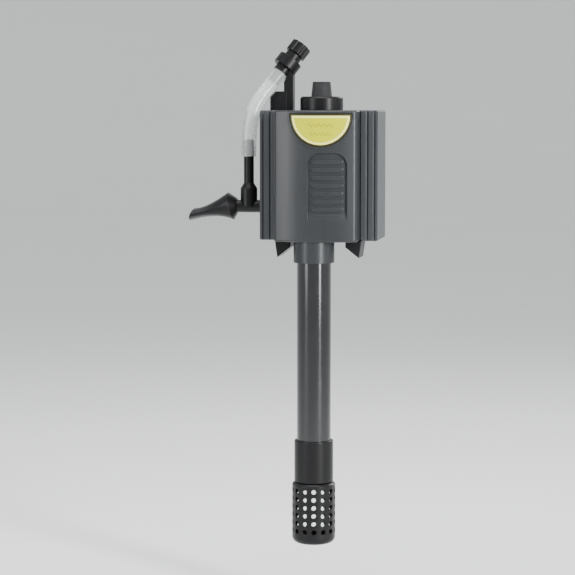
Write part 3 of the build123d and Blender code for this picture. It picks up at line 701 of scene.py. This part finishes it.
class Finishes:
    """The finishes of the whole pump, each made once."""

    def __init__(self) -> None:
        """Start with no material made."""
        self._made: dict[str, bpy.types.Material] = {}

    def get(self, finish: Finish) -> bpy.types.Material:
        """Material of a finish.

        Args:
            finish: the finish.

        Returns:
            The material, made the first time it is asked for.
        """
        if finish.name not in self._made:
            self._made[finish.name] = finish.make()
        return self._made[finish.name]


HOUSING = MouldedPlastic("housing_grey", (0.037, 0.0405, 0.0445), roughness=0.34)
CASE = MouldedPlastic("case_grey", (0.0200, 0.0220, 0.0243), roughness=0.31)
BLACK = MouldedPlastic("fitting_black", (0.005, 0.005, 0.0056), roughness=0.34, flow=Grain.EVEN,
                       wear=0.25, shine=0.2)
BRACKET_BLACK = MouldedPlastic("bracket_black", (0.006, 0.006, 0.0066), roughness=0.42,
                               flow=Grain.ACROSS)
BOBBIN = MouldedPlastic("bobbin_cream", (0.62, 0.58, 0.48), roughness=0.45, scale_spots=0.0)
IMPELLER = MouldedPlastic("impeller_blue", (0.07, 0.14, 0.28), roughness=0.3, scale_spots=0.3)
INK = MouldedPlastic("badge_ink_olive", (0.20, 0.19, 0.008), roughness=0.35, scale_spots=0.0,
                     wear=0.0)
CUP = Rubber("cup_rubber_dark", (0.022, 0.022, 0.024))
SEAL = Rubber("seal_rubber_black", (0.012, 0.012, 0.013), roughness=0.7)
TUBE = SmokedTube("tube_smoked", (0.0055, 0.0058, 0.0068))
HOSE = ClearSilicone("hose_silicone")
STEEL = LaminatedSteel("stator_lamination")
COPPER = EnamelledWire("coil_copper")
CERAMIC = HardStone("shaft_ceramic", (0.82, 0.80, 0.74), roughness=0.22)
MAGNET = HardStone("rotor_ferrite", (0.055, 0.054, 0.056), roughness=0.4, metallic=0.35)
FOAM = OpenFoam("sponge_foam")
FLOOR = StudioFloor("studio_floor_pale")


# ---- shared making -----------------------------------------------------------------------------


@dataclass
class SubAssembly:
    """A group of pieces that makes and dresses itself, with the finishes of the whole pump."""

    finishes: Finishes

    def build(self) -> None:
        """Make and dress the pieces."""
        raise NotImplementedError

    def dress(self, names: Iterable[str], finish: Finish) -> None:
        """Give CAD nodes a finish.

        Args:
            names: the nodes.
            finish: their finish.
        """
        material = self.finishes.get(finish)
        for name in names:
            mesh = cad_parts[name].data
            mesh.materials.clear()
            mesh.materials.append(material)
            log.info("dressed %s in %s", name, material.name)

    def piece(self, name: str, data: bpy.types.ID, finish: Finish, body: Body,
              slot: str) -> bpy.types.Object:
        """Add a piece, dress it and let it ride.

        Args:
            name: plain name of the piece.
            data: its mesh or curve.
            finish: its finish.
            body: the body that it rides on.
            slot: not used.

        Returns:
            The piece.
        """
        made = bpy.data.objects.new(name, data)
        bpy.context.scene.collection.objects.link(made)
        data.materials.append(self.finishes.get(finish))
        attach(made, body.value)
        log.info("made %s on %s", name, body.value)
        return made


def smooth_mesh(name: str, shape: bmesh.types.BMesh) -> bpy.types.Mesh:
    """Turn a finished shape into a mesh that is shaded smoothly.

    Args:
        name: name of the mesh.
        shape: the shape, which is freed.

    Returns:
        The mesh.
    """
    mesh = bpy.data.meshes.new(name)
    shape.to_mesh(mesh)
    shape.free()
    mesh.polygons.foreach_set("use_smooth", [True] * len(mesh.polygons))
    return mesh


def front_of(node: str, start: Vector, otherwise: float) -> float:
    """Depth of a CAD node's front, found by looking along +Y from a point before it.

    Args:
        node: name of the node.
        start: the point that is looked from.
        otherwise: depth to give where the line of sight misses the node.

    Returns:
        The depth.
    """
    hit, place, _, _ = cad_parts[node].ray_cast(start, Vector((0, 1, 0)))
    return place.y if hit else otherwise


# ---- sub-assemblies ----------------------------------------------------------------------------


@dataclass
class WallMount(SubAssembly):
    """Bracket and its four suction cups."""

    def build(self) -> None:
        """Dress the bracket and the cups."""
        self.dress(["wall_bracket"], BRACKET_BLACK)
        self.dress([f"suction_cup_{number}" for number in range(1, 5)], CUP)


@dataclass
class PumpHead(SubAssembly):
    """Housing, its covers and the motor inside."""

    def build(self) -> None:
        """Dress the housing and every piece of the motor."""
        self.dress(["pump_body", "motor_cover", "volute_cover"], HOUSING)
        self.dress(["cable_cap", "left_shelf", "right_shelf"], BLACK)
        self.dress(["cable_gland", "upper_bush", "lower_bush", "o_ring"], SEAL)
        self.dress(["stator_core"], STEEL)
        self.dress(["bobbin"], BOBBIN)
        self.dress(["winding"], COPPER)
        self.dress(["rotor_shaft"], CERAMIC)
        self.dress(["rotor_magnet"], MAGNET)
        self.dress(["impeller"], IMPELLER)


@dataclass(frozen=True)
class BadgeMarks:
    """Rows of small printed waves on the badge, in place of any wording."""

    rows: int = 2
    waves: int = 5
    wave_length: float = 2.4 * MM
    narrowing: float = 0.12
    height: float = 0.6 * MM
    stroke: float = 0.34 * MM
    row_pitch: float = 4.0 * MM
    fall: float = 5.4 * MM
    lift: float = 0.04 * MM
    steps: int = 12

    def points(self, row: int) -> list[tuple[float, float]]:
        """Centre line of one row of waves, about the row's middle.

        Args:
            row: number of the row, from the top.

        Returns:
            Points across and up.
        """
        length = self.waves * self.wave_length * (1.0 - self.narrowing * row)
        count = self.waves * self.steps
        line = []
        for step in range(count + 1):
            share = step / count
            up = self.height * math.sin(2 * math.pi * self.waves * share)
            line.append(((share - 0.5) * length, up - row * self.row_pitch))
        return line


@dataclass
class FilterCartridge(SubAssembly):
    """Front case with its badge and grip, back grid and sponge."""

    badge_land: float = 0.9 * MM
    marks: BadgeMarks = BadgeMarks()
    look_from: float = -0.2
    sponge_cuts: int = 30
    sponge_inset: float = 0.35 * MM
    sponge_round: float = 2.2 * MM
    sponge_roughness: float = 0.6
    coarse_scale: float = 260.0
    fine_scale: float = 900.0

    def build(self) -> None:
        """Dress the case, print the badge and make the sponge."""
        self.dress(["filter_case"], CASE)
        self.dress(["case_grid"], BLACK)
        low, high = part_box("badge")
        middle = 0.5 * (low.x + high.x)
        radius = 0.5 * (high.x - low.x)
        centre = (middle, high.z - self.badge_land)
        self.dress(["badge"], PrintedBadge("badge_yellow_print", centre, high.z, radius))
        self._print_waves(middle, high.z - self.marks.fall)
        self._make_sponge()

    def _print_waves(self, middle: float, top: float) -> None:
        """Lay the printed waves on the badge's curved face.

        Args:
            middle: the badge's middle, across.
            top: height of the first row.
        """
        half = self.marks.stroke / 2
        shape = bmesh.new()
        for row in range(self.marks.rows):
            pairs = []
            for across, up in self.marks.points(row):
                edges = [self._on_badge(middle + across, top + up + side) for side in (-half, half)]
                pairs.append([shape.verts.new(place) for place in edges])
            for first, second in zip(pairs, pairs[1:]):
                shape.faces.new((first[0], second[0], second[1], first[1]))
        data = smooth_mesh("badge_waves", shape)
        self.piece("badge_waves", data, INK, Body.CARTRIDGE, "badge_yellow")

    def _on_badge(self, across: float, up: float) -> Vector:
        """Place just proud of the badge's face.

        Args:
            across: place across.
            up: height.

        Returns:
            The place.
        """
        front = front_of("badge", Vector((across, self.look_from, up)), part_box("badge")[0].y)
        return Vector((across, front - self.marks.lift, up))

    def _make_sponge(self) -> None:
        """Make the foam block: crowned faces, soft corners and an uneven cut surface."""
        low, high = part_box("sponge")
        middle = (low + high) / 2
        size = (high - low) / 2 - Vector((self.sponge_inset,) * 3)
        shape = bmesh.new()
        bmesh.ops.create_cube(shape, size=2.0)
        bmesh.ops.subdivide_edges(shape, edges=shape.edges[:], cuts=self.sponge_cuts,
                                  use_grid_fill=True)
        back = middle.y + size.y
        for vertex in shape.verts:
            place = middle + self._rounded(vertex.co, size, self.sponge_round)
            share = (back - place.y) / (2.0 * size.y)
            before = Vector((place.x, middle.y - 4.0 * size.y, middle.z))
            front = front_of("sponge", before, middle.y) + self.sponge_inset
            vertex.co = Vector((place.x, back - share * (back - front), place.z))
        shape.normal_update()
        for vertex in shape.verts:
            fine = noise.noise(vertex.co * self.fine_scale)
            rough = fine + 0.5 * noise.noise(vertex.co * self.coarse_scale)
            vertex.co += vertex.normal * rough * self.sponge_inset * self.sponge_roughness
        data = smooth_mesh("filter_sponge", shape)
        sponge = self.piece("filter_sponge", data, FOAM, Body.CARTRIDGE, "foam")
        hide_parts("sponge")

    @staticmethod
    def _rounded(unit: Vector, half: Vector, radius: float) -> Vector:
        """Point of a rounded block.

        Args:
            unit: point on a cube from -1 to 1.
            half: half sizes of the block.
            radius: radius of its edges.

        Returns:
            The point on the rounded block.
        """
        full = Vector((unit.x * half.x, unit.y * half.y, unit.z * half.z))
        core = Vector([
            max(-(size - radius), min(size - radius, part)) for part, size in zip(full, half)
        ])
        out = full - core
        if out.length < TINY:
            return full
        return core + out.normalized() * radius


@dataclass
class IntakeLine(SubAssembly):
    """Long intake tube, its coupling and the strainer."""

    def build(self) -> None:
        """Dress the three pieces."""
        self.dress(["intake_tube"], TUBE)
        self.dress(["tube_coupling", "strainer"], BLACK)


@dataclass
class Outlet(SubAssembly):
    """Venturi tee and the duckbill nozzle."""

    def build(self) -> None:
        """Dress the two pieces."""
        self.dress(["outlet_tee", "nozzle"], BLACK)


@dataclass
class AirLine(SubAssembly):
    """Air hose and the regulating valve on its post."""

    route: tuple[tuple[float, float, float], ...] = (
        (-0.0355, -0.0383, 0.0086),
        (-0.0355, -0.0383, 0.0180),
        (-0.0346, -0.0372, 0.0275),
        (-0.0312, -0.0344, 0.0361),
        (-0.0260, -0.0310, 0.0426),
        (-0.0218, -0.0287, 0.0484),
    )
    length: float = 0.0445
    diameter: float = 0.007
    curve_steps: int = 24
    round_steps: int = 8

    def build(self) -> None:
        """Dress the valve and lay the hose."""
        self.dress(["valve_post", "valve_barrel", "valve_knob"], BLACK)
        self._lay_hose()

    def _lay_hose(self) -> None:
        """Lay the hose as one smooth curve from the nipple to the valve."""
        data = bpy.data.curves.new("air_hose", "CURVE")
        data.dimensions = "3D"
        spline = data.splines.new("NURBS")
        spline.points.add(len(self.route) - 1)
        for point, place in zip(spline.points, self.route):
            point.co = (*place, 1.0)
        spline.order_u = 3
        spline.use_endpoint_u = True
        spline.resolution_u = self.curve_steps
        data.bevel_depth = self.diameter / 2
        data.bevel_resolution = self.round_steps
        data.use_fill_caps = True
        hose = self.piece("air_hose", data, HOSE, Body.PUMP, "silicone")
        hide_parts("air_tube")


# ---- studio ------------------------------------------------------------------------------------


def aim(thing: bpy.types.Object, place: Vector, target: Vector) -> None:
    """Put a lamp or the camera into the scene.

    Args:
        thing: the lamp or camera.
        place: where it stands.
        target: the point that it looks at.
    """
    thing.location = place
    thing.rotation_euler = (target - place).to_track_quat("-Z", "Y").to_euler()
    bpy.context.scene.collection.objects.link(thing)


@dataclass(frozen=True)
class Lamp:
    """One soft area light that stands round the object and is aimed at its middle.

    The azimuth is in degrees from the front, towards the right. Reach is the distance across the
    floor and rise the height, both from the object's middle.
    """

    name: str
    azimuth: float
    reach: float
    rise: float
    size: tuple[float, float]
    power: float
    spread: float = 80.0

    def add(self, target: Vector) -> None:
        """Add the light.

        Args:
            target: the point it is aimed at.
        """
        data = bpy.data.lights.new(self.name, "AREA")
        data.shape = "RECTANGLE"
        data.size, data.size_y = self.size
        data.energy = self.power
        data.spread = math.radians(self.spread)
        angle = math.radians(self.azimuth)
        offset = Vector((self.reach * math.sin(angle), -self.reach * math.cos(angle), self.rise))
        aim(bpy.data.objects.new(self.name, data), target + offset, target)


@dataclass(frozen=True)
class Studio:
    """Pale floor, soft lights and the camera."""

    azimuth: float = 10.0
    eye_height: float = 0.034
    distance: float = 0.95
    lens: float = 124.0
    nearest: float = 0.01
    floor_gap: float = 0.03
    floor_reach: float = 3.2
    floor_steps: int = 96
    cove: float = 2.2
    cove_steps: int = 24
    seam: float = 0.001
    air: float = 0.85
    air_colour: Colour = (0.97, 0.99, 1.0)
    lamps: tuple[Lamp, ...] = (
        Lamp("key_left", azimuth=-42.0, reach=1.1, rise=0.27, size=(0.34, 0.75), power=1.7),
        Lamp("front_right", azimuth=50.0, reach=1.0, rise=0.27, size=(0.15, 0.75), power=3.9),
        Lamp("side_right", azimuth=88.0, reach=1.0, rise=0.30, size=(0.30, 0.75), power=0.3),
        Lamp("top_soft", azimuth=0.0, reach=0.15, rise=1.1, size=(0.9, 0.9), power=2.8),
        Lamp("back_soft", azimuth=150.0, reach=1.1, rise=0.5, size=(0.7, 0.5), power=1.4),
    )

    def build(self, finishes: Finishes, low: Vector, high: Vector) -> None:
        """Make the camera, the floor and the lights.

        Args:
            finishes: materials of the scene.
            low: lowest corner of the object.
            high: highest corner of the object.
        """
        middle = (low + high) / 2
        self._camera(middle)
        self._floor(finishes, middle, low.z - self.floor_gap)
        self._world()
        for lamp in self.lamps:
            lamp.add(middle)

    def _camera(self, target: Vector) -> None:
        """Place the camera.

        Args:
            target: the point that it looks at.
        """
        angle = math.radians(self.azimuth)
        place = Vector((target.x + self.distance * math.sin(angle),
                        target.y - self.distance * math.cos(angle), self.eye_height))
        data = bpy.data.cameras.new("camera")
        data.lens = self.lens
        data.clip_start = self.nearest
        camera = bpy.data.objects.new("camera", data)
        aim(camera, place, target)
        bpy.context.scene.camera = camera

    def _floor(self, finishes: Finishes, middle: Vector, height: float) -> None:
        """Lay the floor, a wide dish that curves up into a wall all round so that no edge shows.

        Args:
            finishes: materials of the scene.
            middle: middle of the object.
            height: height of the floor.
        """
        shape = bmesh.new()
        profile = [shape.verts.new((0.0, 0.0, 0.0))]
        for step in range(self.cove_steps + 1):
            turn = 0.5 * math.pi * step / self.cove_steps
            across = self.floor_reach + self.cove * math.sin(turn)
            profile.append(shape.verts.new((across, 0.0, self.cove * (1.0 - math.cos(turn)))))
        runs = [shape.edges.new(pair) for pair in zip(profile, profile[1:])]
        bmesh.ops.spin(shape, geom=profile + runs, cent=(0.0, 0.0, 0.0), axis=(0.0, 0.0, 1.0),
                       angle=2.0 * math.pi, steps=self.floor_steps, use_merge=True)
        bmesh.ops.remove_doubles(shape, verts=shape.verts, dist=self.seam)
        bmesh.ops.recalc_face_normals(shape, faces=shape.faces)
        data = smooth_mesh("studio_floor", shape)
        data.materials.append(finishes.get(FLOOR))
        floor = bpy.data.objects.new("studio_floor", data)
        floor.location = (middle.x, middle.y, height)
        bpy.context.scene.collection.objects.link(floor)
        floor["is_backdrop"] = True

    def _world(self) -> None:
        """Fill the surroundings with an even pale light."""
        world = bpy.data.worlds.new("studio_air")
        world.use_nodes = True
        background = world.node_tree.nodes["Background"]
        background.inputs["Color"].default_value = (*self.air_colour, 1.0)
        background.inputs["Strength"].default_value = self.air
        bpy.context.scene.world = world


def main() -> None:
    """Build the scene: the studio, then each sub-assembly."""
    logging.basicConfig(level=logging.INFO, format="%(message)s")
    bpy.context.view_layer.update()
    finishes = Finishes()
    low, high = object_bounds()
    Studio().build(finishes, Vector(low), Vector(high))
    for kind in (WallMount, PumpHead, FilterCartridge, IntakeLine, Outlet, AirLine):
        kind(finishes).build()


if __name__ == "__main__":
    main()
